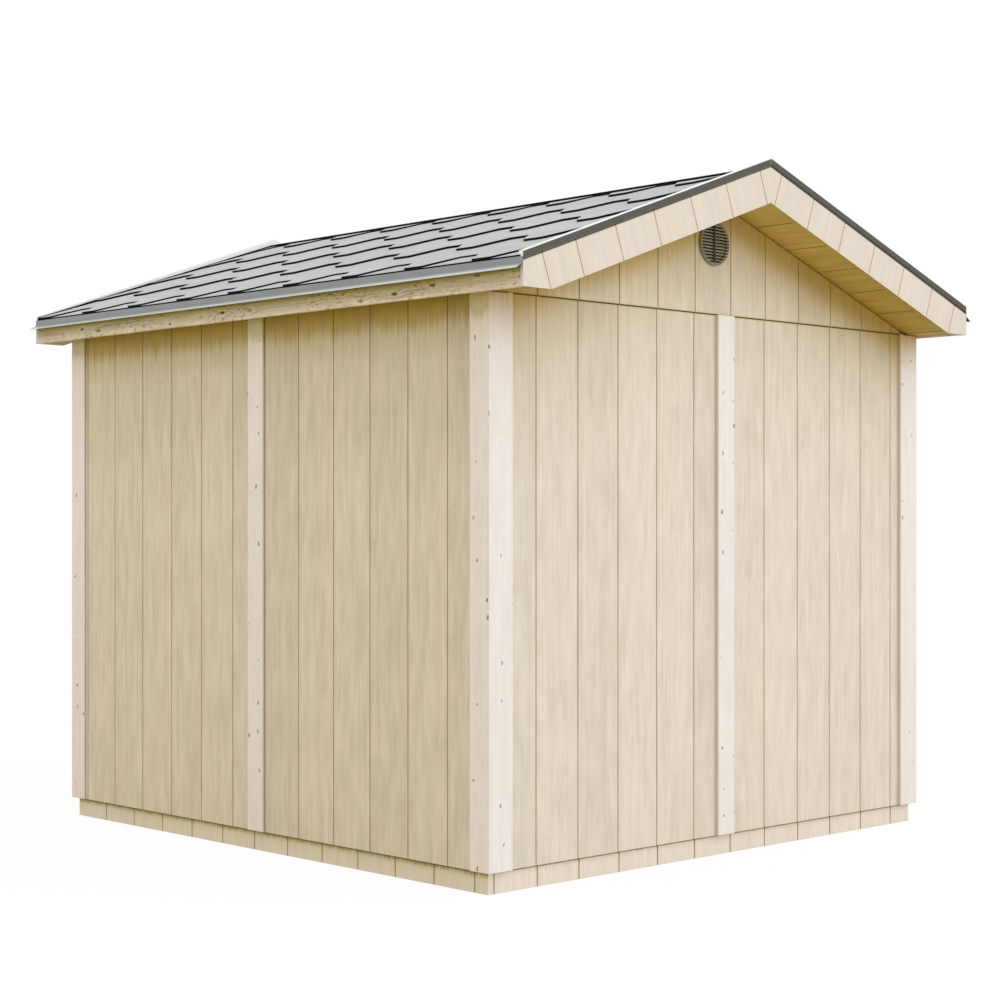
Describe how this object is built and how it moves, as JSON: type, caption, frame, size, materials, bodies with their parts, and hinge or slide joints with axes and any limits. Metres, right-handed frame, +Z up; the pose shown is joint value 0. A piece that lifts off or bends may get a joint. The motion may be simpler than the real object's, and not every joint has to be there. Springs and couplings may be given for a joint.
{
  "type": "wooden garden shed",
  "caption": "Small gable-roofed wooden garden shed with grooved board siding, trim battens, shingle roof, metal roof edges and round louvred gable vents.",
  "frame": {"origin": "on the ground at the middle of the floor, at the underside of the plinth boards", "axes": "+Z up; X across the gables; Y along the eaves, with the front gable towards -Y"},
  "size_m": [2.544, 2.932, 2.5203],
  "materials": {
    "siding": "grooved pale spruce panel, matte",
    "trim_wood": "planed whitish pine with small knots, matte",
    "framing_wood": "sawn softwood, matte",
    "shingle": "light grey mineral shingle with black edges",
    "verge_metal": "dark grey satin sheet",
    "drip_metal": "light grey satin sheet",
    "vent_plastic": "grey-green matt plastic"
  },
  "bodies": {
    "root": {"back_batten": "trim_wood", "back_gable_panel": "siding", "back_gable_vent": "vent_plastic", "back_left_corner": "trim_wood", "back_right_corner": "trim_wood", "back_wall_panels": "siding", "eave_soffits": "siding", "floor_deck": "framing_wood", "floor_joists": "framing_wood", "front_batten": "trim_wood", "front_gable_panel": "siding", "front_gable_vent": "vent_plastic", "front_left_corner": "trim_wood", "front_right_corner": "trim_wood", "front_wall_panels": "siding", "gable_plinth_boards": "siding", "gable_short_studs": "framing_wood", "gable_wall_plates": "framing_wood", "gable_wall_studs": "framing_wood", "left_batten": "trim_wood", "left_drip_edge": "drip_metal", "left_eave_boards": "trim_wood", "left_rake_boards": "siding", "left_rake_soffits": "siding", "left_roof_deck": "framing_wood", "left_shingles": "shingle", "left_verge_caps": "verge_metal", "left_wall_panels": "siding", "rafters": "framing_wood", "ridge_board": "framing_wood", "ridge_cap": "shingle", "right_batten": "trim_wood", "right_drip_edge": "drip_metal", "right_eave_boards": "trim_wood", "right_rake_boards": "siding", "right_rake_soffits": "siding", "right_roof_deck": "framing_wood", "right_shingles": "shingle", "right_verge_caps": "verge_metal", "right_wall_panels": "siding", "side_plinth_boards": "siding", "side_wall_plates": "framing_wood", "side_wall_studs": "framing_wood"}
  },
  "joints": []
}
